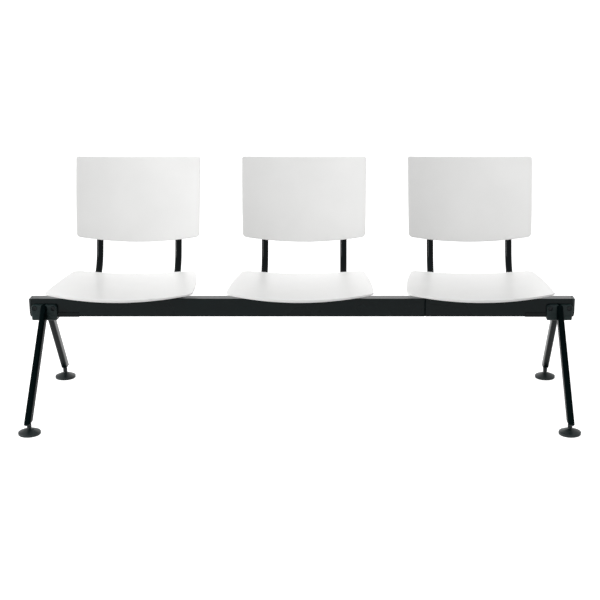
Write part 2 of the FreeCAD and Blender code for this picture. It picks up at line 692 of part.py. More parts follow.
def seat_top(x, y):
    """Height of the seat's top: a bowl along the seat, with sides that rise more at the front."""
    front = size("seat_front + seat_front_bow")
    low = size("seat_low_behind")
    along = size("seat_front_lift") * ((y - low) / (front + low)) ** 2
    share = (y + size("seat_front")) / size("seat_front + seat_rear")
    lift = size("seat_side_lift_front") * (1 - share) + size("seat_side_lift_rear") * share
    return size("seat_height") + along + lift * (x / size("seat_front_width / 2")) ** 2


def seat_shell_shape():
    """The seat: a dished sheet with a deeper front lip, ribs and four screw posts underneath."""
    margin = size("blank_margin")
    half = size("seat_front_width / 2") + margin
    front = -size("seat_front + seat_front_bow")
    rear = size("seat_rear + seat_rear_bow") + margin
    lip_end = front + size("seat_lip_depth")
    stations = [front - margin, front + size("seat_lip_flat")]
    stations += [lip_end + (rear - lip_end) * step / 4 for step in range(5)]

    def section(y, above, below):
        xs = (-half, 0, half)
        return strip([(x, seat_top(x, y) + above) for x in xs],
                     [(x, seat_top(x, y) + below) for x in xs], lambda x, z: V(x, y, z))

    thickness = size("seat_thickness")
    depths = [size("seat_lip")] * 2 + [thickness] * (len(stations) - 2)
    sheet_solid = Part.makeLoft([section(y, 0, -depth) for y, depth in zip(stations, depths)], True, False)
    tall = size("seat_height")
    under = Part.makeLoft([section(y, -thickness / 2, -tall) for y in stations[2:]], True, False)
    prism = outline_prism(-size("seat_front"), size("seat_rear"), size("seat_front_width"),
                          size("seat_rear_width"),
                          (size("seat_front_bow"), size("seat_side_bow"), size("seat_rear_bow")),
                          (size("seat_front_corner"), size("seat_rear_corner")), 2 * tall)
    shell = sheet_solid.common(prism)
    spread = size("seat_post_spread / 2")
    post_front = -size("seat_post_front")
    post_rear = size("seat_post_rear")
    bottom = size("bracket_top")
    rib = size("seat_rib")
    rib_bottom = bottom + size("seat_rib_drop")
    stiffeners = []
    for x in (-spread, spread):
        stiffeners.append(Part.makeBox(rib, post_rear - post_front, tall,
                                       V(x - rib / 2, post_front, rib_bottom)))
        for y in (post_front, post_rear):
            stiffeners.append(Part.makeCylinder(size("seat_post_diameter / 2"), tall, V(x, y, bottom)))
    for y in (post_front, post_rear):
        stiffeners.append(Part.makeBox(2 * spread, rib, tall, V(-spread, y - rib / 2, rib_bottom)))
    frame = stiffeners[0].multiFuse(stiffeners[1:]).common(under)
    seat = shell.fuse(frame)
    grip = size("seat_screw_grip")
    pilots = [Part.makeCylinder(size("seat_screw_diameter / 2"), grip, V(x, y, bottom))
              for x in (-spread, spread) for y in (post_front, post_rear)]
    return seat.cut(Part.makeCompound(pilots))


def back_shell_shape():
    """The back, upright in its own frame: a hollowed sheet with two sleeves for the tubes."""
    margin = size("blank_margin")
    height = size("back_height")
    half = size("back_top_width / 2") + margin
    tube_x = size("tube_spacing / 2")
    hollow = size("back_hollow")
    reference = size("back_top_width / 2")
    wall = size("back_thickness")
    seat_side = -size("tube_diameter / 2 + sleeve_bore_fit") - wall

    def section(z):
        lumbar = size("back_lumbar") * math.sin(math.pi * min(max(z / height, 0), 1))
        xs = (-half, 0, half)
        front = [(x, seat_side - lumbar - hollow * (x ** 2 - tube_x ** 2) / reference ** 2) for x in xs]
        return strip([(x, y + wall) for x, y in front], front, lambda x, y: V(x, y, z))

    stations = [-margin, height / 4, height / 2, height * 3 / 4, height + margin]
    sheet_solid = Part.makeLoft([section(z) for z in stations], True, False)
    outline = outline_prism(size("back_bottom_bow"), height - size("back_top_bow"),
                            size("back_bottom_width"), size("back_top_width"),
                            (size("back_bottom_bow"), size("back_side_bow"), size("back_top_bow")),
                            (size("back_bottom_corner"), size("back_top_corner")), 2 * height)
    upright = FreeCAD.Placement(V(0, height, 0), FreeCAD.Rotation(X_AXIS, 90))
    shell = sheet_solid.common(outline.transformed(upright.toMatrix()))
    bore = size("tube_diameter / 2 + sleeve_bore_fit")
    outer = bore + size("sleeve_side")
    start = size("sleeve_start")
    tall = size("sleeve_height")
    for x in (-tube_x, tube_x):
        depth = bore + wall / 2
        block = Part.makeBox(2 * outer, depth + outer, tall, V(x - outer, -depth, start))
        corners = [edge for edge in block.Edges
                   if edge.BoundBox.ZLength > tall - NEAR and edge.BoundBox.YMin > 0]
        shell = shell.fuse(block.makeFillet(size("sleeve_rounding"), corners))
    for x in (-tube_x, tube_x):
        shell = shell.cut(Part.makeCylinder(bore, size("upright_length - back_gap + sleeve_bore_fit"),
                                            V(x, 0, 0)))
        for z in (size("back_screw_low"), size("back_screw_high")):
            shell = shell.cut(Part.makeCylinder(size("back_screw_diameter / 2"), outer, V(x, 0, z), Y_AXIS))
    return shell


seat_shape = seat_shell_shape()
back_shape = back_shell_shape()
seat_screw = fastener(Part.makeCylinder(size("seat_screw_head / 2"), size("seat_screw_head_height")),
                      size("seat_screw_diameter"), size("bracket_sheet + seat_screw_grip"))
bracket_screw = fastener(hexagon(size("bracket_screw_flats"), size("bracket_screw_head_height")),
                         size("bracket_screw_diameter"), size("bracket_screw_length"))
back_screw = fastener(Part.makeCylinder(size("back_screw_head / 2"), size("back_screw_head_height")),
                      size("back_screw_diameter"), size("sleeve_side + sleeve_bore_fit + tube_wall"))


# Tubes and brackets of one seat

def frame_tube(label, x):
    """A tube that lies across the beam and bends up, leaning, to carry the back."""
    body = new_body(label, x, "-beam_ahead", "tube_height")
    spine = new_sketch(body, "YZ_Plane", label + "_spine")
    start = -size("beam_width / 2 + tube_overhang")
    run = size("tube_run")
    radius = size("bend_radius")
    turn = math.radians(size("bend_turn"))
    bend_end = V(run + radius * math.sin(turn), radius - radius * math.cos(turn), 0)
    top = bend_end + V(math.cos(turn), math.sin(turn), 0) * size("upright_length")
    spine.addGeometry(Part.LineSegment(V(start, 0, 0), V(run, 0, 0)))
    arc = Part.Circle(V(run, radius, 0), Z_AXIS, radius)
    spine.addGeometry(Part.ArcOfCircle(arc, -math.pi / 2, turn - math.pi / 2))
    spine.addGeometry(Part.LineSegment(bend_end, top))
    spine.addConstraint(Sketcher.Constraint("Horizontal", 0))
    spine.addConstraint(Sketcher.Constraint("Tangent", 0, 2, 1, 1))
    spine.addConstraint(Sketcher.Constraint("Tangent", 1, 2, 2, 1))
    fix_point(spine, 0, 1, "-(beam_width / 2 + tube_overhang)", "0")
    bind(spine, "DistanceX", -1, 1, 0, 2, "tube_run")
    bind(spine, "Radius", 1, "bend_radius")
    bind(spine, "Distance", 2, "upright_length")
    lean = spine.addConstraint(Sketcher.Constraint("Angle", 2, turn))
    spine.setExpression("Constraints[%d]" % lean, formula("bend_turn * 1 deg"))
    profile = new_sketch(body, "XZ_Plane", label + "_profile", offset="beam_width / 2 + tube_overhang")
    circle(profile, "tube_diameter")
    circle(profile, "tube_diameter - 2 * tube_wall")
    pipe = body.newObject("PartDesign::AdditivePipe", label + "_pipe")
    pipe.Profile = profile
    pipe.Spine = (spine, [])
    doc.recompute()
    holes = new_sketch(body, "XZ_Plane", label + "_holes")
    holes.AttachmentOffset = FreeCAD.Placement(V(), FreeCAD.Rotation(X_AXIS, -10))
    holes.setExpression("AttachmentOffset.Rotation.Angle", formula("-back_recline"))
    holes.setExpression("AttachmentOffset.Base.y", formula("back_base_z - tube_height"))
    holes.setExpression("AttachmentOffset.Base.z", formula("-(back_base_y)"))
    circle(holes, "back_screw_diameter", "0", "back_screw_low")
    circle(holes, "back_screw_diameter", "0", "back_screw_high")
    pocket(body, holes, "tube_diameter")


def seat_bracket(label, x):
    """A steel plate welded over both tubes, with a channel screwed down on the beam."""
    body = new_body(label, x, "-beam_ahead", "0")
    plate = new_sketch(body, "XY_Plane", label + "_plate", y="(bracket_rear - bracket_front) / 2",
                       offset="bracket_bottom")
    rounded_rectangle(plate, "bracket_width", "bracket_front + bracket_rear", "bracket_corner")
    pad(body, plate, "bracket_sheet")
    channel = new_sketch(body, "XZ_Plane", label + "_channel")
    inner = "channel_width / 2 - bracket_sheet"
    outer = "channel_width / 2"
    floor = "beam_top + bracket_sheet"
    polygon(channel, [("-(%s)" % outer, "bracket_bottom"), ("-(%s)" % outer, "beam_top"),
                      (outer, "beam_top"), (outer, "bracket_bottom"), (inner, "bracket_bottom"),
                      (inner, floor), ("-(%s)" % inner, floor), ("-(%s)" % inner, "bracket_bottom")])
    pad(body, channel, "channel_depth", symmetric=True)
    spreads = ("-bracket_screw_outer", "-bracket_screw_inner", "bracket_screw_inner", "bracket_screw_outer")
    access = new_sketch(body, "XY_Plane", label + "_access", offset="bracket_top")
    screws = new_sketch(body, "XY_Plane", label + "_screw_holes", offset=floor)
    for spread in spreads:
        circle(access, "access_hole", spread)
        circle(screws, "bracket_screw_diameter", spread)
    for spread in ("-seat_post_spread / 2", "seat_post_spread / 2"):
        circle(access, "seat_screw_diameter", spread, "-seat_post_front")
        circle(access, "seat_screw_diameter", spread, "seat_post_rear")
    pocket(body, access, "bracket_sheet")
    pocket(body, screws, "bracket_sheet")


def tube_plug(offset_x):
    """A plug in a tube's front end."""
    inner = size("tube_diameter / 2 - tube_wall - slide_fit")
    head = Part.makeCylinder(size("tube_diameter / 2"), size("tube_plug_head"), V(), -Y_AXIS)
    stub = Part.makeCylinder(inner, size("tube_plug_depth"), V(), Y_AXIS)
    plug = head.fuse(stub)
    plug.translate(V(offset_x, size("-beam_ahead - beam_width / 2 - tube_overhang"), size("tube_height")))
    return plug


for number, seat_x in ((1, "-seat_pitch"), (2, "0"), (3, "seat_pitch")):
    middle = size(seat_x)
    frame_tube("frame_tube_left_%d" % number, "%s - tube_spacing / 2" % seat_x)
    frame_tube("frame_tube_right_%d" % number, "%s + tube_spacing / 2" % seat_x)
    seat_bracket("seat_bracket_%d" % number, seat_x)
    spreads = [size(text) for text in ("-bracket_screw_outer", "-bracket_screw_inner",
                                       "bracket_screw_inner", "bracket_screw_outer")]
    shaped("bracket_screws_%d" % number, copies(bracket_screw, [
        FreeCAD.Placement(V(middle + spread, size("-beam_ahead"), size("beam_top + bracket_sheet")),
                          FreeCAD.Rotation()) for spread in spreads]))
    shaped("tube_plugs_%d" % number, Part.makeCompound(
        [tube_plug(middle + sign * size("tube_spacing / 2")) for sign in (-1, 1)]))
    seat = shaped("seat_shell_%d" % number, seat_shape)
    place(seat, seat_x, "-beam_ahead", "0")
    shaped("seat_screws_%d" % number, copies(seat_screw, [
        FreeCAD.Placement(V(middle + sign * size("seat_post_spread / 2"), size("-beam_ahead") + post,
                            size("bracket_bottom")), FreeCAD.Rotation(X_AXIS, 180))
        for sign in (-1, 1) for post in (size("-seat_post_front"), size("seat_post_rear"))]))
    back = shaped("back_shell_%d" % number, back_shape)
    place(back, seat_x, "-beam_ahead + back_base_y", "back_base_z", tilt="-back_recline")
    screws = shaped("back_screws_%d" % number, copies(back_screw, [
        FreeCAD.Placement(V(sign * size("tube_spacing / 2"),
                            size("tube_diameter / 2 + sleeve_bore_fit + sleeve_side"), rise),
                          FreeCAD.Rotation(X_AXIS, -90))
        for sign in (-1, 1) for rise in (size("back_screw_low"), size("back_screw_high"))]))
    place(screws, seat_x, "-beam_ahead + back_base_y", "back_base_z", tilt="-back_recline")

doc.recompute()

for thing in doc.Objects:
    if any(state in ("Invalid", "Error") for state in thing.State):
        raise RuntimeError("%s did not build: %s" % (thing.Label, thing.State))
for node in nodes:
    if node.Shape.isNull() or not node.Shape.isValid() or node.Shape.Volume <= 0:
        raise RuntimeError(node.Label + " has no valid solid")

os.makedirs("parts", exist_ok=True)
for node in nodes:
    node.Shape.exportStep("parts/%s.step" % node.Label)
print("%d nodes" % len(nodes))
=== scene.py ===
"""Dresses the beam bench: white moulded seats and backs on black powder-coated steel.

Metres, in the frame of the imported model: X along the beam, -Y where the sitters face, +Z up.
"""
import json
import math

import bmesh
import bpy
import numpy as np
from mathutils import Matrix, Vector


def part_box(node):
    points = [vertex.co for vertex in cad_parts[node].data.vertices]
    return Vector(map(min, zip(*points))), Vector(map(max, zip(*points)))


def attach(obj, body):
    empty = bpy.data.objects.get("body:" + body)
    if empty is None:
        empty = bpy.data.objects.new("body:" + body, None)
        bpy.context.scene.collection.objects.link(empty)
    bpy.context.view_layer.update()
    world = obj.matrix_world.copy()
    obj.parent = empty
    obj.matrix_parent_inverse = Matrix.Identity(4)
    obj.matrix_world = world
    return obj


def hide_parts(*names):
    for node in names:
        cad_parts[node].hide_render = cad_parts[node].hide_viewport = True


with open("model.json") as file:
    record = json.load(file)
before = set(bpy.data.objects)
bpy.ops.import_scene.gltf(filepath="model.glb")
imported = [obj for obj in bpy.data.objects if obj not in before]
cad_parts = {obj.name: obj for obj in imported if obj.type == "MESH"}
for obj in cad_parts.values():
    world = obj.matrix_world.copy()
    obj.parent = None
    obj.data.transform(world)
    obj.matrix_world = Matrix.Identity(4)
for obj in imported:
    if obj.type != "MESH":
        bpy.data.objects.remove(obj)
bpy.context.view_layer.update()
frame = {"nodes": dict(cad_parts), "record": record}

X_AXIS = np.array([1.0, 0, 0])
Y_AXIS = np.array([0, 1.0, 0])
Z_AXIS = np.array([0, 0, 1.0])
SIDES = {"left": -1, "right": 1}
ENDS = {"front": -1, "rear": 1}
SEATS = {1: -0.560, 2: 0.0, 3: 0.560}     # each seat's middle along the beam

# Beam, from the frame
beam_low, beam_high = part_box("beam_left")
BEAM_Y = (beam_low.y + beam_high.y) / 2
BEAM_TOP = beam_high.z
BEAM_BOTTOM = beam_low.z
BEAM_MIDDLE = (BEAM_TOP + BEAM_BOTTOM) / 2
BEAM_HALF = (beam_high.y - beam_low.y) / 2
BEAM_HALF_HEIGHT = BEAM_TOP - BEAM_MIDDLE
BEAM_CORNER = 0.0015
BEAM_EDGE = 0.0012          # the rounding of each length's sawn end
JOINT_INSET = 0.0008        # how far each length's sawn end lies back from the solid's
JOINT_SUNK = 0.0008         # how far the sleeve's middle rib lies below the beam's faces
JOINT_RIB = 0.003           # half that rib's width; the lengths cover its sides
SLEEVE_BAR_CORNER = 0.002
SLEEVE_BAR_EDGE = 0.0005
CAP_EDGE = 0.003
CAP_TAPER = 0.35            # share of the cap's depth that its lower edge draws in by
CAP_TAPER_DEPTH = 0.014     # how far up from its lower edge that begins

# Seat shell, about the beam's centre line
SEAT_FRONT = 0.197
SEAT_REAR = 0.134
SEAT_FRONT_HALF = 0.228
SEAT_REAR_HALF = 0.200
SEAT_FRONT_BOW = 0.034
SEAT_REAR_BOW = 0.005
SEAT_SIDE_BOW = 0.009
SEAT_FRONT_CORNER = 0.013
SEAT_REAR_CORNER = 0.022
SEAT_HEIGHT = 0.3915
SEAT_LOW_BEHIND = 0.060     # where its bowl is lowest
SEAT_FRONT_LIFT = 0.0125
SEAT_SIDE_LIFT = (0.015, 0.0165)        # at the front and at the rear
SEAT_SHEET = 0.005
SEAT_LIP = 0.0085
SEAT_LIP_DEPTH = 0.028      # how far in from the front edge the lip's thickness reaches
SEAT_EDGE = 0.0018
BRACKET_TOP = BEAM_TOP + 0.025
POST_SPREAD = 0.100
POST_PLACES = (-0.102, 0.071)
POST_RADIUS = 0.010
POST_BORE = 0.003
POST_FLARE = 0.004          # how far a post widens at the sheet, and over what height
POST_EDGE = 0.0008
RIB_HALF = 0.0015
RIB_CORNER = 0.0007
RIB_CLEARANCE = 0.010       # between the ribs' lower edges and the bracket

# Tubes under each seat, which bend up to carry its back
TUBE_SPREAD = 0.133
TUBE_RADIUS = 0.0113
TUBE_OVERHANG = 0.024
TUBE_RUN = 0.121
BEND_RADIUS = 0.120
RECLINE = math.radians(17.5)
UPRIGHT = 0.160

# Back shell, in its own leaning frame
BACK_GAP = 0.032            # from the end of the tubes' bend
BACK_HEIGHT = 0.2895
BACK_HALF = (0.207, 0.210)
BACK_BOTTOM_BOW = 0.016
BACK_SIDE_BOW = 0.0005
BACK_TOP_BOW = 0.002
BACK_CORNERS = (0.012, 0.007)
BACK_SHEET = 0.005
BACK_EDGE = 0.0015
BACK_HOLLOW = 0.025
BACK_LUMBAR = 0.004
SLEEVE_FIT = 0.0003
SLEEVE_WALL = 0.004
SLEEVE_START = 0.014
SLEEVE_HEIGHT = 0.122
SLEEVE_ROUNDING = 0.006
SLEEVE_EDGE = 0.003
SLEEVE_FOOT_EDGE = 0.0009

# Mounts, about each leg's middle and outward from the beam's face
MOUNT_HALF = 0.041
MOUNT_DEPTH = 0.012
MOUNT_FACE = 0.0108         # how far the lobes' faces stand out, a little behind the roll's
MOUNT_CORNER = 0.009
MOUNT_EDGE = 0.0025
MOUNT_TOPS = {"front": BEAM_TOP - 0.018, "rear": BEAM_TOP - 0.008}
MOUNT_BOTTOMS = {"front": BEAM_TOP - 0.070, "rear": BEAM_TOP - 0.075}
ROLL_TOP = BEAM_BOTTOM + 0.0095
LOBE_GAP = 0.001            # how far above the mount's foot its lobes end, inside the roll
ROLL_CORNER = 0.005
CROSS_EDGE = 0.9            # the rounding of a roll's or hook's ends, as a share of its corner
HOOK_TOP = BEAM_BOTTOM - 0.002
HOOK_REACH = 0.037
HOOK_PARTING = 0.001        # half the gap between the two mounts under the beam
HOOK_ROOT = 0.004           # how far the hook runs into the mount
HOOK_CORNER = 0.0018
BOLT_SPREAD = 0.030
BOLT_HEIGHT = BEAM_TOP - 0.030
WELL_RADIUS = 0.008
WELL_CORE = 0.0008          # the innermost ring of its floor
WELL_DEPTH = 0.007
WELL_RIM = 0.0004
BOLT_RADIUS = 0.004
BOLT_LENGTH = 0.0565
BOLT_HEAD = 0.005
BOLT_HEAD_RADIUS = 0.0065
BOLT_HEAD_BEVEL = (0.0006, 0.0005)      # inward and down
BOLT_KEY = 0.006            # across the socket's flats
BOLT_KEY_CORE = 0.0005      # the innermost ring of the socket's floor
BOLT_KEY_DEPTH = 0.0025
BOLT_KEY_BEVEL = 0.0003     # how far below the head's face the flats end
BOLT_KEY_RIM = 0.0038       # the radius where the socket's bevel meets that face

# Legs and feet
LEG_HALF = (0.010, 0.017)
LEG_CORNER = 0.007
LEG_DROP = 0.041
LEG_END_HEIGHT = 0.041
SPINDLE_INSET = 0.005       # from the spindle's axis to the leg's, at the leg's lower end
SPINDLE_RADIUS = 0.004
SPINDLE_TOP = 0.057
BALL_HEIGHT = 0.015
BALL_RADIUS = 0.006
BALL_FLAT = 0.0022          # half the height of the ball's rim, and the radius of its sole
BALL_NECK = 0.005           # from the ball's middle up to the plain spindle
COLLAR_FLATS = 0.013
COLLAR_LOW = 0.022
COLLAR_HIGH = 0.038
COLLAR_ROOT = 0.0003        # how far inside the flats each bevel begins
COLLAR_BEVEL = [(0, 0), (0.0005, 0.0003), (0.001, 0.0007), (0.0014, 0.0012)]
PAD_CAVITY = [(0.002, 0.0082), (0.0046, 0.0096), (0.0066, 0.0122), (0.0066, 0.0176)]
PAD_MOUTH = 0.0054
PAD_TOP = 0.019
PAD_CROWN = 0.009
PAD_RIM = 0.0078
PAD_CHAMFER = 0.0012
PAD_SOLE_BORE = 0.004
PAD_ROUNDING = [0.0006, 0.0006, 0.0006, 0.0004, 0.0012, 0.0020, 0.0005, 0.0005]

# Meshes
CREASE = math.radians(40)   # edges that turn more than this are drawn sharp
SHEET_CORE = 0.02           # a sheet's innermost ring, as a share of the way to its rim


# Finishes

CLOUD_LOW = 0.3             # the values of the noise that a finish drifts between
CLOUD_HIGH = 0.7


def linear(code):
    """A colour written as sRGB hex, as the linear values that a shader takes."""
    channels = [int(code[start:start + 2], 16) / 255 for start in (1, 3, 5)]
    return tuple(c / 12.92 if c <= 0.04045 else ((c + 0.055) / 1.055) ** 2.4
                 for c in channels) + (1,)


def add_node(tree, kind, inputs=None, **properties):
    """Adds a node, sets its properties, and gives its sockets values or links."""
    node = tree.nodes.new(kind)
    for name, value in properties.items():
        setattr(node, name, value)
    for name, value in (inputs or {}).items():
        if isinstance(value, bpy.types.NodeSocket):
            tree.links.new(value, node.inputs[name])
        else:
            node.inputs[name].default_value = value
    return node


def finish(name, dark, light, cloud, roughness, grain, relief, ior=1.5, metallic=0.0):
    """A finish whose tone and gloss drift over clouds of one size, with a finer relief.

    cloud and grain are the sizes in metres of a cloud and of the relief's bumps, relief is the
    bumps' height, and roughness is the range that the gloss drifts over.
    """
    material = bpy.data.materials.new(name)
    material.use_nodes = True
    tree = material.node_tree
    tree.nodes.clear()
    place = add_node(tree, "ShaderNodeTexCoord").outputs["Object"]
    clouds = add_node(tree, "ShaderNodeTexNoise",
                      {"Vector": place, "Scale": 1 / cloud, "Detail": 3.0})
    tone = add_node(tree, "ShaderNodeValToRGB", {"Fac": clouds.outputs[0]})
    tone.color_ramp.elements[0].position = CLOUD_LOW
    tone.color_ramp.elements[0].color = linear(dark)
    tone.color_ramp.elements[1].position = CLOUD_HIGH
    tone.color_ramp.elements[1].color = linear(light)
    gloss = add_node(tree, "ShaderNodeMapRange",
                     {"Value": clouds.outputs[0], "From Min": CLOUD_LOW, "From Max": CLOUD_HIGH,
                      "To Min": roughness[0], "To Max": roughness[1]})
    bumps = add_node(tree, "ShaderNodeTexNoise",
                     {"Vector": place, "Scale": 1 / grain, "Detail": 2.0})
    bump = add_node(tree, "ShaderNodeBump",
                    {"Height": bumps.outputs[0], "Distance": relief, "Strength": 1.0})
    shader = add_node(tree, "ShaderNodeBsdfPrincipled",
                      {"Base Color": tone.outputs["Color"], "Roughness": gloss.outputs["Result"],
                       "Normal": bump.outputs["Normal"], "IOR": ior, "Metallic": metallic})
    add_node(tree, "ShaderNodeOutputMaterial", {"Surface": shader.outputs["BSDF"]})
    return material


# Injection-moulded polypropylene from a spark-eroded tool: white, satin, a very fine even grain,
# which is about 0.1 mm on the real shells and is drawn at 1.5 mm so that it shows
WHITE_SHELL = finish("white moulded polypropylene", "#EDEDEC", "#F1F1F0", 0.15, (0.36, 0.44),
                     0.0015, 0.00002, ior=1.49)
# Powder coat on box section: near black with a blue-green cast, semi-gloss, with the soft ripple of
# a baked film a few millimetres across; it reflects little face on, so the flat faces stay dark
BLACK_POWDER = finish("black semi-gloss powder coat on steel", "#050F10", "#081516", 0.20,
                      (0.26, 0.32), 0.004, 0.00003, ior=1.22)
# The same coat on the oval legs and their channels: darker face on, with a soft grey band where a
# rear leg's inner side mirrors the pale floor
BLACK_LEG = finish("black powder coat on oval tube", "#040C0D", "#061112", 0.08, (0.24, 0.30),
                   0.004, 0.00003, ior=1.21)
# The front legs show no such band and are the darkest steel of all, which is painted shade: this
# copy of the coat mirrors almost nothing. The sleeve inside the beam wears it too, and draws the
# dark line at the joint in painted shade
BLACK_COAT_PAINTED_SHADE = finish("black powder coat without sheen on oval tube", "#040C0D", "#061112", 0.08,
                         (0.24, 0.30), 0.004, 0.00003, ior=1.06)
# The same coat on drawn round tube, whose smoother wall leaves it glossier, so that it streaks
BLACK_TUBE = finish("black powder coat on drawn tube", "#040A0B", "#070F11", 0.12, (0.08, 0.12),
                    0.005, 0.00002, ior=1.18)
# The same coat over a die casting, whose skin is a little rougher and holds more of the coat; its
# paler tone is painted light, standing in for the light on the mounts' rounded lobes
BLACK_CASTING_PAINTED_LIGHT = finish("black powder coat on die-cast metal", "#132021", "#1C2B2B", 0.03,
                       (0.34, 0.44), 0.002, 0.00005, ior=1.28)
# Glass-filled nylon, moulded: matter than the coat, and a touch paler where it is scuffed
BLACK_NYLON = finish("black glass-filled nylon", "#0F1819", "#172122", 0.02, (0.36, 0.48),
                     0.0015, 0.00003, ior=1.36)
# Steel with a black oxide finish: dark, with a dull metal glint
BLACK_OXIDE = finish("black oxide on turned steel", "#0A1012", "#11181A", 0.01, (0.32, 0.42),
                     0.001, 0.00001, metallic=0.6)

FINISHES = {"white_plastic": WHITE_SHELL, "beam_steel": BLACK_POWDER, "leg_steel": BLACK_LEG,
            "tube_steel": BLACK_TUBE, "black_casting": BLACK_CASTING_PAINTED_LIGHT, "black_plastic": BLACK_NYLON,
            "foot_steel": BLACK_OXIDE, "fastener_steel": BLACK_OXIDE}


# Meshes

def closed(rings):
    """A closed skin over rings of points: quads between the rings, and a fan over each end."""
    rows, columns = rings.shape[:2]
    here = np.arange(columns)
    beside = np.roll(here, -1)
    row = np.arange(rows - 1)[:, None] * columns
    quads = np.stack([row + here, row + beside, row + columns + beside, row + columns + here],
                     axis=-1)
    last = (rows - 1) * columns
    low = np.stack([beside, here, np.full(columns, rows * columns)], axis=-1)
    high = np.stack([last + here, last + beside, np.full(columns, rows * columns + 1)], axis=-1)
    points = np.vstack([rings.reshape(-1, 3), rings[0].mean(axis=0), rings[-1].mean(axis=0)])
    return points, quads.reshape(-1, 4), np.vstack([low, high])


def piece(name, skins, slot, body, *nodes, coat=None):
    """One object from closed skins, riding on a body and standing for its nodes.

    It takes its slot's finish, or the coat that is given.
    """
    points, quads, fans = zip(*skins)
    starts = np.cumsum([0] + [len(part) for part in points[:-1]])
    faces = [corners + start for corners, start in zip(quads, starts)]
    ends = [corners + start for corners, start in zip(fans, starts)]
    mesh = bpy.data.meshes.new(name)
    mesh.from_pydata(np.vstack(points), [], np.vstack(faces).tolist() + np.vstack(ends).tolist())
    shape = bmesh.new()
    shape.from_mesh(mesh)
    bmesh.ops.recalc_face_normals(shape, faces=shape.faces)
    shape.to_mesh(mesh)
    shape.free()
    mesh.shade_smooth()
    mesh.set_sharp_from_angle(angle=CREASE)
    mesh.materials.append(coat or FINISHES[slot])
    thing = bpy.data.objects.new(name, mesh)
    bpy.context.scene.collection.objects.link(thing)
    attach(thing, body)
    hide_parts(*nodes)


def rounded_loop(half_x, half_y, corner, bend=8, side=0):
    """Points round a rectangle with quarter-circle corners.

    Each corner is its centre plus the radius along a turning spoke, and points shared out evenly on
    a straight line join it to the next. Sizes given as arrays make one loop for each entry.
    """
    half_x, half_y, corner = np.broadcast_arrays(half_x, half_y, corner)
    angle = np.arange(4)[:, None] * math.pi / 2 + np.linspace(0, math.pi / 2, bend + 1)
    signs = np.array([(1, 1), (-1, 1), (-1, -1), (1, -1)])[:, None, :]
    spread = np.stack([half_x - corner, half_y - corner], axis=-1)[..., None, None, :]
    spokes = np.stack([np.cos(angle), np.sin(angle)], axis=-1)
    arcs = signs * spread + corner[..., None, None, None] * spokes
    share = np.linspace(0, 1, side + 2)[1:-1, None]
    sides = arcs[..., -1:, :] * (1 - share) + np.roll(arcs, -1, axis=-3)[..., :1, :] * share
    return np.concatenate([arcs, sides], axis=-2).reshape(half_x.shape + (-1, 2))


def softened(points, radius, steps=5):
    """An open outline with each inner corner turned on an arc of the given radius.

    The arc's centre lies on the corner's bisector, at the radius over the sine of half its angle,
    and its points turn evenly between the two touching points.
    """
    points = np.asarray(points, float)
    corner = points[1:-1]
    back = points[:-2] - corner
    ahead = points[2:] - corner
    back /= np.linalg.norm(back, axis=1, keepdims=True)
    ahead /= np.linalg.norm(ahead, axis=1, keepdims=True)
    half = np.arccos(np.clip((back * ahead).sum(axis=1), -1, 1))[:, None] / 2
    radius = np.broadcast_to(radius, len(corner))[:, None]
    middle = back + ahead
    middle /= np.linalg.norm(middle, axis=1, keepdims=True)
    centre = corner + middle * radius / np.sin(half)
    first = (corner + back * radius / np.tan(half) - centre)[:, None, :]
    last = (corner + ahead * radius / np.tan(half) - centre)[:, None, :]
    swing = (math.pi - 2 * half)[:, None, :]
    share = np.linspace(0, 1, steps + 1)[None, :, None]
    arcs = centre[:, None, :] + (np.sin((1 - share) * swing) * first
                                 + np.sin(share * swing) * last) / np.sin(swing)
    return np.vstack([points[:1], arcs.reshape(-1, 2), points[-1:]])


def turned(profile, centre, along=Z_AXIS, up=Y_AXIS, columns=72, flats=np.inf):
    """A skin turned about an axis from a profile of radius and distance along it.

    Where flats are given, a ring's radius is the smaller of its own and a hexagon's, which is half
    the flats over the cosine of the angle from the nearest flat's middle.
    """
    angle = np.linspace(0, 2 * math.pi, columns, endpoint=False)
    radius, distance = np.asarray(profile, float).T[:, :, None]
    flats = np.broadcast_to(flats, len(radius))[:, None]
    radius = np.minimum(radius, flats / 2 / np.cos(angle % (math.pi / 3) - math.pi / 6))
    spokes = np.cos(angle)[:, None] * X_AXIS + np.sin(angle)[:, None] * up
    line = np.asarray(centre, float) + distance[..., None] * along
    return closed(line + radius[..., None] * spokes)


def softened_bar(start, stop, half_across, half_up, corner, edge, across, up, steps=5, side=0):
    """A straight bar of rounded-rectangle section whose two ends have rounded edges.

    Its rings draw in along a quarter circle at each end, so the edge is part of the skin; side is
    the number of points along each straight side of a ring.
    """
    start = np.asarray(start, float)
    along = np.asarray(stop, float) - start
    length = np.linalg.norm(along)
    along /= length
    turn = np.linspace(0, math.pi / 2, steps + 1)
    inset = edge * (1 - np.sin(turn))
    depth = edge * (1 - np.cos(turn))
    inset = np.concatenate([inset, inset[::-1]])
    depth = np.concatenate([depth, length - depth[::-1]])
    loops = rounded_loop(half_across - inset, half_up - inset, np.maximum(corner - inset, edge / 4),
                         side=side)
    line = start + depth[:, None, None] * along
    return closed(line + loops[..., :1] * across + loops[..., 1:] * up)


# Moulded shells

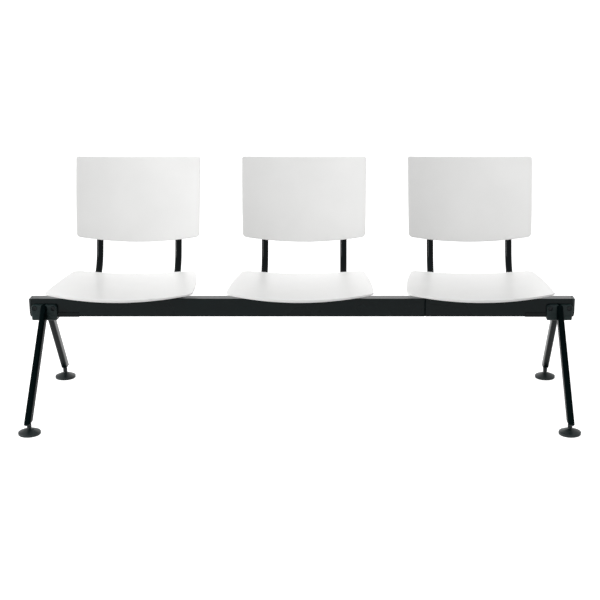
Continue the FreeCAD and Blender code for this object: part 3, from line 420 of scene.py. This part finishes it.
def bowed_outline(near, far, halves, bows, corners, straight=48, bend=14):
    """Points round a four-sided plate with bowed sides and rounded corners.

    A square with elliptical corners, u and v from -1 to 1, is stretched to the plate: v runs from
    its near to its far edge, u across it, and each side bulges by its bow times 1 - u squared.
    """
    near_bow, side_bow, far_bow = bows
    mean_half = (halves[0] + halves[1]) / 2
    half_run = (far - near) / 2
    loops = []
    for turn, (side, end) in enumerate(((1, 1), (-1, 1), (-1, -1), (1, -1))):
        corner = corners[1] if end > 0 else corners[0]
        reach = np.array([corner / mean_half, corner / half_run])
        angle = turn * math.pi / 2 + np.linspace(0, math.pi / 2, bend + 1)
        spokes = np.stack([np.cos(angle), np.sin(angle)], axis=-1)
        loops.append(np.array([side, end]) * (1 - reach) + reach * spokes)
    path = []
    for loop, following in zip(loops, loops[1:] + loops[:1]):
        share = np.linspace(0, 1, straight + 1)[1:-1, None]
        path += [loop, loop[-1] * (1 - share) + following[0] * share]
    u, v = np.vstack(path).T
    far_share = (v + 1) / 2
    half = halves[0] * (1 - far_share) + halves[1] * far_share + side_bow * (1 - v ** 2)
    run = near * (1 - far_share) + far * far_share
    run += (1 - u ** 2) * (far_bow * far_share - near_bow * (1 - far_share))
    return np.stack([u * half, run], axis=-1)


def sheet(outline, thickness, edge, place, rings=22, steps=6):
    """A closed moulded sheet over an outline, with a rolled rim.

    Rings grow from the middle of the show face to the rim, roll over it on two quarter circles,
    and shrink to the middle of the other face; place turns plan points and a depth into space.
    """
    ahead = np.roll(outline, -1, axis=0) - np.roll(outline, 1, axis=0)
    ahead /= np.linalg.norm(ahead, axis=1, keepdims=True)
    outward = np.stack([ahead[:, 1], -ahead[:, 0]], axis=-1)
    middle = outline.mean(axis=0)
    face = outline - edge * outward
    share = np.linspace(SHEET_CORE, 1, rings)[:, None, None]
    inner = middle + share * (face - middle)
    turn = np.linspace(0, math.pi / 2, steps + 1)[1:, None, None]
    rim = outline - edge * (1 - np.sin(turn)) * outward
    roll = edge * (1 - np.cos(turn))[:, :, 0]
    plan = np.concatenate([inner, rim, rim[::-1], inner[::-1]])
    full = thickness(plan)
    depth = np.concatenate([np.zeros(inner.shape[:2]), np.broadcast_to(roll, rim.shape[:2]),
                            full[len(inner) + steps:-len(inner)] - roll[::-1], full[-len(inner):]])
    return closed(place(plan, depth))


def seat_top(x, y):
    """Height of the seat's show face: a bowl along the seat, whose sides lift as x squared."""
    front = SEAT_FRONT + SEAT_FRONT_BOW
    along = SEAT_FRONT_LIFT * ((y - SEAT_LOW_BEHIND) / (front + SEAT_LOW_BEHIND)) ** 2
    share = (y + SEAT_FRONT) / (SEAT_FRONT + SEAT_REAR)
    lift = SEAT_SIDE_LIFT[0] * (1 - share) + SEAT_SIDE_LIFT[1] * share
    return SEAT_HEIGHT + along + lift * (x / SEAT_FRONT_HALF) ** 2


def seat_thickness(plan):
    """The sheet's thickness, which grows smoothly to the lip along the bowed front edge.

    The lip is deepest in the middle, and runs out towards the front corners.
    """
    x, y = plan[..., 0], plan[..., 1]
    inward = 1 - (x / SEAT_FRONT_HALF) ** 2
    share = np.clip((y + SEAT_FRONT + SEAT_FRONT_BOW * inward) / SEAT_LIP_DEPTH, 0, 1)
    ease = 1 - share ** 2 * (3 - 2 * share)
    return SEAT_SHEET + (SEAT_LIP - SEAT_SHEET) * ease * np.maximum(inward, 0)


def rib(start, stop, seat_x, stations=17):
    """An upright rib under the seat from one plan point to another.

    Its level lower edge and its upper edge, which follows the sheet, are carried along the line.
    """
    start = np.array(start)
    run = np.array(stop) - start
    line = start + np.linspace(0, 1, stations)[:, None] * run
    across = np.array([run[1], -run[0], 0]) / np.linalg.norm(run)
    high = seat_top(line[:, 0], line[:, 1]) - SEAT_SHEET / 2
    low = BRACKET_TOP + RIB_CLEARANCE
    loops = rounded_loop(RIB_HALF, (high - low) / 2, RIB_CORNER, bend=3)
    middle = np.stack([line[:, 0] + seat_x, line[:, 1] + BEAM_Y, (high + low) / 2], axis=-1)
    return closed(middle[:, None] + loops[..., :1] * across + loops[..., 1:] * Z_AXIS)


def post(x, y, seat_x):
    """A screw post under the seat, flared where it meets the sheet."""
    top = float(seat_top(x, y)) - SEAT_SHEET / 2
    profile = softened([(POST_BORE, BRACKET_TOP), (POST_RADIUS, BRACKET_TOP),
                        (POST_RADIUS, top - POST_FLARE), (POST_RADIUS + POST_FLARE, top)],
                       POST_EDGE)
    return turned(profile, (x + seat_x, y + BEAM_Y, 0), columns=40)


SEAT_OUTLINE = bowed_outline(-SEAT_FRONT, SEAT_REAR, (SEAT_FRONT_HALF, SEAT_REAR_HALF),
                             (SEAT_FRONT_BOW, SEAT_SIDE_BOW, SEAT_REAR_BOW),
                             (SEAT_FRONT_CORNER, SEAT_REAR_CORNER))
BACK_OUTLINE = bowed_outline(BACK_BOTTOM_BOW, BACK_HEIGHT - BACK_TOP_BOW, BACK_HALF,
                             (BACK_BOTTOM_BOW, BACK_SIDE_BOW, BACK_TOP_BOW), BACK_CORNERS)

for number, seat_x in SEATS.items():
    def seat_place(plan, depth):
        x, y = plan[..., 0], plan[..., 1]
        return np.stack([x + seat_x, y + BEAM_Y, seat_top(x, y) - depth], axis=-1)

    skins = [sheet(SEAT_OUTLINE, seat_thickness, SEAT_EDGE, seat_place)]
    for end in POST_PLACES:
        skins += [post(-POST_SPREAD, end, seat_x), post(POST_SPREAD, end, seat_x),
                  rib((-POST_SPREAD, end), (POST_SPREAD, end), seat_x)]
    for x in (-POST_SPREAD, POST_SPREAD):
        skins.append(rib((x, POST_PLACES[0]), (x, POST_PLACES[1]), seat_x))
    piece("seat_%d" % number, skins, "white_plastic", "bench", "seat_shell_%d" % number)


# Tubes and backs

BEND_TURN = math.pi / 2 - RECLINE
TUBE_HEIGHT = BEAM_TOP + TUBE_RADIUS
BEND_END = np.array([BEAM_Y + TUBE_RUN + BEND_RADIUS * math.sin(BEND_TURN),
                     TUBE_HEIGHT + BEND_RADIUS * (1 - math.cos(BEND_TURN))])
LEAN = np.array([math.sin(RECLINE), math.cos(RECLINE)])      # up the back, in y and z
BACK_BASE = BEND_END + BACK_GAP * LEAN


def bent_tube(x, columns=40, steps=8, turns=32):
    """A tube along the beam's top, round its bend and up behind the seat.

    A circle is carried along a straight run, an arc and a second straight run, square to each.
    """
    start = BEAM_Y - BEAM_HALF - TUBE_OVERHANG
    along = np.linspace(start, BEAM_Y + TUBE_RUN, steps + 1)[:-1]
    run = np.stack([along, np.full(steps, TUBE_HEIGHT)], axis=-1)
    turn = np.linspace(0, BEND_TURN, turns + 1)
    bend = np.stack([BEAM_Y + TUBE_RUN + BEND_RADIUS * np.sin(turn),
                     TUBE_HEIGHT + BEND_RADIUS * (1 - np.cos(turn))], axis=-1)
    rise = BEND_END + np.linspace(0, UPRIGHT, steps + 1)[1:, None] * LEAN
    line = np.vstack([run, bend, rise])
    slope = np.concatenate([np.zeros(steps), turn, np.full(steps, BEND_TURN)])
    angle = np.linspace(0, 2 * math.pi, columns, endpoint=False)
    out = TUBE_RADIUS * np.sin(angle)
    rings = np.stack([np.broadcast_to(x + TUBE_RADIUS * np.cos(angle), (len(line), columns)),
                      line[:, :1] - np.sin(slope)[:, None] * out,
                      line[:, 1:] + np.cos(slope)[:, None] * out], axis=-1)
    return closed(rings)


def back_face(x, rise):
    """Depth of the back's show face: hollow across, with a slight swell at mid-height."""
    swell = BACK_LUMBAR * np.sin(math.pi * np.clip(rise / BACK_HEIGHT, 0, 1))
    bowl = BACK_HOLLOW * (x ** 2 - TUBE_SPREAD ** 2) / BACK_HALF[1] ** 2
    return -(TUBE_RADIUS + SLEEVE_FIT + BACK_SHEET) - swell - bowl


def lean_back(x, depth, rise):
    """Places points given in the back's leaning frame."""
    y = BACK_BASE[0] + depth * LEAN[1] + rise * LEAN[0]
    z = BACK_BASE[1] - depth * LEAN[0] + rise * LEAN[1]
    return np.stack(np.broadcast_arrays(x, y, z), axis=-1)


def tube_sleeve(x, steps=6):
    """The moulded sleeve behind the back that takes a tube: rounded behind, closed above.

    A rounded rectangle is carried up the tube, and draws in along a quarter circle at each end.
    """
    outer = TUBE_RADIUS + SLEEVE_FIT + SLEEVE_WALL
    turn = np.linspace(0, math.pi / 2, steps + 1)
    inset = np.concatenate([SLEEVE_FOOT_EDGE * (1 - np.sin(turn)),
                            SLEEVE_EDGE * (1 - np.cos(turn))])
    rise = SLEEVE_START + np.concatenate([SLEEVE_FOOT_EDGE * (1 - np.cos(turn)),
                                          SLEEVE_HEIGHT - SLEEVE_EDGE * (1 - np.sin(turn))])
    loops = rounded_loop(outer - inset, (outer + TUBE_RADIUS) / 2 - inset, SLEEVE_ROUNDING - inset)
    return closed(lean_back(x + loops[..., 0], (outer - TUBE_RADIUS) / 2 + loops[..., 1],
                            rise[:, None]))


for number, seat_x in SEATS.items():
    for side, sign in SIDES.items():
        piece("tube_%s_%d" % (side, number), [bent_tube(seat_x + sign * TUBE_SPREAD)],
              "tube_steel", "bench", "frame_tube_%s_%d" % (side, number))

    def back_place(plan, depth):
        x, rise = plan[..., 0], plan[..., 1]
        return lean_back(x + seat_x, back_face(x, rise) + depth, rise)

    skins = [sheet(BACK_OUTLINE, lambda plan: np.full(plan.shape[:-1], BACK_SHEET), BACK_EDGE,
                   back_place)]
    skins += [tube_sleeve(seat_x + sign * TUBE_SPREAD) for sign in SIDES.values()]
    piece("back_%d" % number, skins, "white_plastic", "bench", "back_shell_%d" % number)


# Beam and end caps

for side, sign in SIDES.items():
    low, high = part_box("beam_" + side)
    far, joint = (low.x, high.x) if sign < 0 else (high.x, low.x)
    end = (far, BEAM_Y, BEAM_MIDDLE)
    skin = softened_bar(end, (joint + sign * JOINT_INSET, BEAM_Y, BEAM_MIDDLE), BEAM_HALF,
                        BEAM_HALF_HEIGHT, BEAM_CORNER, BEAM_EDGE, Y_AXIS, Z_AXIS)
    piece("beam_length_" + side, [skin], "beam_steel", "bench", "beam_" + side)
    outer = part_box("end_cap_" + side)[0 if sign < 0 else 1].x
    points, quads, fans = softened_bar(end, (outer, BEAM_Y, BEAM_MIDDLE), BEAM_HALF,
                                       BEAM_HALF_HEIGHT, BEAM_CORNER, CAP_EDGE, Y_AXIS, Z_AXIS,
                                       side=24)
    # The cap's end face curves in towards its lower edge
    below = np.clip((BEAM_BOTTOM + CAP_TAPER_DEPTH - points[:, 2]) / CAP_TAPER_DEPTH, 0, 1)
    points[:, 0] = far + (points[:, 0] - far) * (1 - CAP_TAPER * below ** 2)
    piece("beam_cap_" + side, [(points, quads, fans)], "black_plastic", "bench", "end_cap_" + side)

# The sleeve inside the joint, with a rib round its middle that shows as the dark joint line; the
# rib lies a little below the beam's faces, and its coat adds painted shade
low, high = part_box("beam_joint_sleeve")
middle = np.array([low.x + high.x, low.y + high.y, low.z + high.z]) / 2
reach = (high.x - low.x) / 2 * X_AXIS
skins = [softened_bar(middle - reach, middle + reach, (high.y - low.y) / 2, (high.z - low.z) / 2,
                      SLEEVE_BAR_CORNER, SLEEVE_BAR_EDGE, Y_AXIS, Z_AXIS),
         softened_bar((middle[0] - JOINT_RIB, BEAM_Y, BEAM_MIDDLE),
                      (middle[0] + JOINT_RIB, BEAM_Y, BEAM_MIDDLE), BEAM_HALF - JOINT_SUNK,
                      BEAM_HALF_HEIGHT - JOINT_SUNK, BEAM_CORNER, SLEEVE_BAR_EDGE,
                      Y_AXIS, Z_AXIS)]
piece("joint_sleeve", skins, "beam_steel", "bench", "beam_joint_sleeve", coat=BLACK_COAT_PAINTED_SHADE)


# Mounts and their bolts

def lobe(leg_x, across, face_y, out, low, high, steps=5):
    """One rounded lobe of a mount, with the bolt's well sunk in its face.

    Rings climb the well's wall, spread over the face on straight lines from the well's round rim
    to the lobe's outline, roll over the outer edge on a quarter circle, and run back to the beam.
    """
    turn = np.linspace(0, math.pi / 2, steps + 1)
    inset = MOUNT_EDGE * (1 - np.sin(turn))
    middle = np.array([MOUNT_HALF / 2, (low + high) / 2])
    outline = middle + rounded_loop(MOUNT_HALF / 2 - inset, (high - low) / 2 - inset,
                                    MOUNT_CORNER - inset, side=8)
    bolt = np.array([BOLT_SPREAD, BOLT_HEIGHT])
    spokes = outline[0] - bolt
    spokes /= np.linalg.norm(spokes, axis=1, keepdims=True)
    radii = np.array([WELL_CORE, WELL_RADIUS, WELL_RADIUS, WELL_RADIUS + WELL_RIM])
    well = bolt + radii[:, None, None] * spokes
    share = np.linspace(0, 1, steps + 1)[1:-1, None, None]
    face = well[-1] * (1 - share) + outline[0] * share
    plan = np.concatenate([well, face, outline, outline[-1:]])
    floor = MOUNT_DEPTH - WELL_DEPTH
    depth = np.concatenate([[floor, floor, MOUNT_FACE - WELL_RIM, MOUNT_FACE],
                            np.full(len(face), MOUNT_FACE),
                            MOUNT_FACE - MOUNT_EDGE * (1 - np.cos(turn)), [0]])[:, None]
    return closed(np.stack(np.broadcast_arrays(leg_x + across * plan[..., 0], face_y + out * depth,
                                               plan[..., 1]), axis=-1))


def cap_bolt(x, face_y):
    """A cap screw through the beam, its head in the front well with a hexagon socket."""
    inward, down = BOLT_HEAD_BEVEL
    socket = [(BOLT_KEY_CORE, BOLT_KEY_DEPTH), (BOLT_KEY, BOLT_KEY_DEPTH),
              (BOLT_KEY, BOLT_HEAD - BOLT_KEY_BEVEL)]
    body = [(BOLT_KEY_RIM, BOLT_HEAD), (BOLT_HEAD_RADIUS - inward, BOLT_HEAD),
            (BOLT_HEAD_RADIUS, BOLT_HEAD - down), (BOLT_HEAD_RADIUS, 0),
            (BOLT_RADIUS, 0), (BOLT_RADIUS, -BOLT_LENGTH)]
    flats = [BOLT_KEY] * len(socket) + [np.inf] * len(body)
    seat = face_y - (MOUNT_DEPTH - WELL_DEPTH)
    return turned(socket + body, (x, seat, BOLT_HEIGHT), along=-Y_AXIS, up=Z_AXIS, flats=flats)


def cross_bar(leg_x, reach, ys, zs, corner):
    """A bar along the beam between two values of y and of z, with rounded corners and ends."""
    middle = np.array([leg_x, sum(ys) / 2, sum(zs) / 2])
    return softened_bar(middle - reach * X_AXIS, middle + reach * X_AXIS, abs(ys[1] - ys[0]) / 2,
                        (zs[1] - zs[0]) / 2, corner, CROSS_EDGE * corner, Y_AXIS, Z_AXIS)


for side in SIDES:
    low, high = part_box("leg_bolts_" + side)
    leg_x = (low.x + high.x) / 2
    for end, out in ENDS.items():
        face_y = BEAM_Y + out * BEAM_HALF
        bottom = MOUNT_BOTTOMS[end]
        skins = [lobe(leg_x, across, face_y, out, bottom + LOBE_GAP, MOUNT_TOPS[end])
                 for across in (-1, 1)]
        skins.append(cross_bar(leg_x, MOUNT_HALF, (face_y, face_y + out * MOUNT_DEPTH),
                               (bottom, ROLL_TOP), ROLL_CORNER))
        hook = (BEAM_Y + out * HOOK_PARTING, face_y + out * HOOK_ROOT)
        skins.append(cross_bar(leg_x, HOOK_REACH, hook, (bottom, HOOK_TOP), HOOK_CORNER))
        piece("mount_%s_%s" % (end, side), skins, "black_casting", "bench",
              "%s_leg_mount_%s" % (end, side))
    skins = [cap_bolt(leg_x + across * BOLT_SPREAD, BEAM_Y - BEAM_HALF) for across in (-1, 1)]
    piece("bolts_" + side, skins, "fastener_steel", "bench", "leg_bolts_" + side)


# Legs and feet

def leg_skin(x, end_y, out, stations=12):
    """An oval leg from its level lower end to its upright mitre against the mount.

    Each point of the section runs along the leg from where it meets the level of the lower end to
    where it meets the mount's face.
    """
    end = np.array([x, end_y, LEG_END_HEIGHT])
    head = np.array([x, BEAM_Y + out * (BEAM_HALF + MOUNT_DEPTH), BEAM_TOP - LEG_DROP])
    length = np.linalg.norm(head - end)
    along = (head - end) / length
    loop = rounded_loop(*LEG_HALF, LEG_CORNER, bend=10)
    section = loop[:, :1] * X_AXIS + loop[:, 1:] * np.cross(along, X_AXIS)
    low = -section[:, 2] / along[2]
    high = length - section[:, 1] / along[1]
    share = np.linspace(0, 1, stations)[:, None]
    run = low * (1 - share) + high * share
    return closed(end + section + run[..., None] * along)


def spindle_profile():
    """Radius and height along a spindle: ball end, neck, bevelled collar and thread."""
    bevel = np.array(COLLAR_BEVEL)
    root = COLLAR_FLATS / 2 - COLLAR_ROOT
    waist = np.array([root, COLLAR_LOW]) + bevel
    crown = np.array([root, COLLAR_HIGH]) + bevel * (1, -1)
    ball = [(BALL_FLAT, BALL_HEIGHT - BALL_RADIUS), (BALL_RADIUS, BALL_HEIGHT - BALL_FLAT),
            (BALL_RADIUS, BALL_HEIGHT + BALL_FLAT)]
    neck = [(SPINDLE_RADIUS, BALL_HEIGHT + BALL_NECK), (SPINDLE_RADIUS, COLLAR_LOW)]
    thread = [(SPINDLE_RADIUS, COLLAR_HIGH), (SPINDLE_RADIUS, SPINDLE_TOP)]
    return np.vstack([ball, neck, waist, crown[::-1], thread])


for side in SIDES:
    for end, out in ENDS.items():
        pad = "%s_foot_pad_%s" % (end, side)
        low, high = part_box(pad)
        foot = np.array([(low.x + high.x) / 2, (low.y + high.y) / 2, 0])
        radius = (high.x - low.x) / 2
        # The front legs take the coat without sheen, whose extra darkness is painted shade
        piece("leg_%s_%s" % (end, side), [leg_skin(foot[0], foot[1] + out * SPINDLE_INSET, out)],
              "leg_steel", "bench", "%s_leg_%s" % (end, side),
              coat=BLACK_COAT_PAINTED_SHADE if end == "front" else None)
        profile = PAD_CAVITY + [(PAD_MOUTH, PAD_TOP), (PAD_CROWN, PAD_TOP), (radius, PAD_RIM),
                                (radius, PAD_CHAMFER), (radius - PAD_CHAMFER, 0),
                                (PAD_SOLE_BORE, 0)]
        piece("pad_%s_%s" % (end, side),
              [turned(softened(profile, PAD_ROUNDING), foot, columns=96)],
              "black_plastic", "pad_%s_%s" % (end, side), pad)
        piece("stem_%s_%s" % (end, side), [turned(spindle_profile(), foot, flats=COLLAR_FLATS)],
              "foot_steel", "stem_%s_%s" % (end, side), "%s_foot_stem_%s" % (end, side))

# The solids wear their own slots' finishes, and those that no piece stands for show them
slots = {part["node"]: part["material_slot"] for part in frame["record"]["subparts"]}
for node, thing in frame["nodes"].items():
    for slot in thing.material_slots:
        slot.material = FINISHES[slots[node]]


# Floor, light and camera

FLOOR_SIZE = 60
FLOOR_GLOW = 0.95
SKY_LIGHT = 0.28            # how strongly the white surroundings light the bench; seen, they are 1


def seen_directly(tree):
    """1 for rays from the camera and for those in reflections and through clear pieces."""
    rays = add_node(tree, "ShaderNodeLightPath").outputs
    seen = add_node(tree, "ShaderNodeMath", {0: rays["Is Camera Ray"], 1: rays["Is Glossy Ray"]},
                    operation="MAXIMUM")
    return add_node(tree, "ShaderNodeMath", {0: seen.outputs[0], 1: rays["Is Transmission Ray"]},
                    operation="MAXIMUM").outputs[0]


def stage_shader(name, colour, glow):
    """A matt floor with a glow that only direct and reflected looks see; it takes the shadows."""
    material = bpy.data.materials.new(name)
    material.use_nodes = True
    tree = material.node_tree
    tree.nodes.clear()
    light = add_node(tree, "ShaderNodeEmission", {"Color": linear("#FFFFFF"), "Strength": glow})
    matt = add_node(tree, "ShaderNodeBsdfDiffuse", {"Color": linear(colour)})
    both = add_node(tree, "ShaderNodeAddShader", {0: light.outputs[0], 1: matt.outputs[0]})
    mixed = add_node(tree, "ShaderNodeMixShader", {0: seen_directly(tree), 1: matt.outputs[0],
                                                   2: both.outputs[0]})
    add_node(tree, "ShaderNodeOutputMaterial", {"Surface": mixed.outputs[0]})
    return material


bpy.ops.mesh.primitive_plane_add(size=FLOOR_SIZE, location=(0, 0, 0))
floor = bpy.context.object
floor.name = "floor"
floor.data.materials.append(stage_shader("pale studio floor", "#D9D9D9", FLOOR_GLOW))

world = bpy.data.worlds.new("white studio")
bpy.context.scene.world = world
world.use_nodes = True
tree = world.node_tree
tree.nodes.clear()
strength = add_node(tree, "ShaderNodeMapRange",
                    {"Value": seen_directly(tree), "To Min": SKY_LIGHT, "To Max": 1.0})
sky = add_node(tree, "ShaderNodeBackground", {"Color": linear("#FFFFFF"),
                                              "Strength": strength.outputs["Result"]})
add_node(tree, "ShaderNodeOutputWorld", {"Surface": sky.outputs[0]})


def soft_box(name, place, target, width, height, power, mirrored=True):
    """A rectangular soft lamp aimed at a point, which glossy surfaces mirror or not."""
    lamp = bpy.data.lights.new(name, "AREA")
    lamp.shape = "RECTANGLE"
    lamp.size = width
    lamp.size_y = height
    lamp.energy = power
    thing = bpy.data.objects.new(name, lamp)
    thing.location = place
    aim = Vector(target) - Vector(place)
    thing.rotation_euler = aim.to_track_quat("-Z", "Y").to_euler()
    thing.visible_camera = False
    thing.visible_glossy = mirrored
    bpy.context.scene.collection.objects.link(thing)


soft_box("key", (-5.6, -1.6, 1.6), (0, 0, 0.5), 1.8, 2.4, 190)
soft_box("overhead", (0, -0.8, 3.4), (0, 0, 0.4), 4.0, 2.5, 58, mirrored=False)
soft_box("behind", (0, 4.5, 2.3), (0, 0, 0.4), 4.5, 2.4, 40)
soft_box("fill", (0, -1.5, 0.12), (0, -0.2, 0.42), 3.4, 0.4, 2.5, mirrored=False)

# Camera: fitted to the photograph's beam, seats, backs and feet, with the frame taken as 600 pixels
FRAME_PIXELS = 600
FOCAL_PIXELS = 1291.6
CENTRE_PIXEL = 349.0        # the column that the lens looks straight along
SENSOR = 36.0
CAMERA_PLACE = (0.152, -4.020, 1.487)
CAMERA_DIP = 15.90          # degrees below level
camera =bpy.data.cameras.new("camera")
camera.sensor_width = SENSOR
camera.lens = FOCAL_PIXELS * SENSOR / FRAME_PIXELS
camera.shift_x = 0.5 - CENTRE_PIXEL / FRAME_PIXELS
camera_thing = bpy.data.objects.new("camera", camera)
camera_thing.location = CAMERA_PLACE
camera_thing.rotation_euler = (math.radians(90 - CAMERA_DIP), 0, 0)
bpy.context.scene.collection.objects.link(camera_thing)
bpy.context.scene.camera = camera_thing
bpy.context.scene.view_settings.view_transform = "Standard"
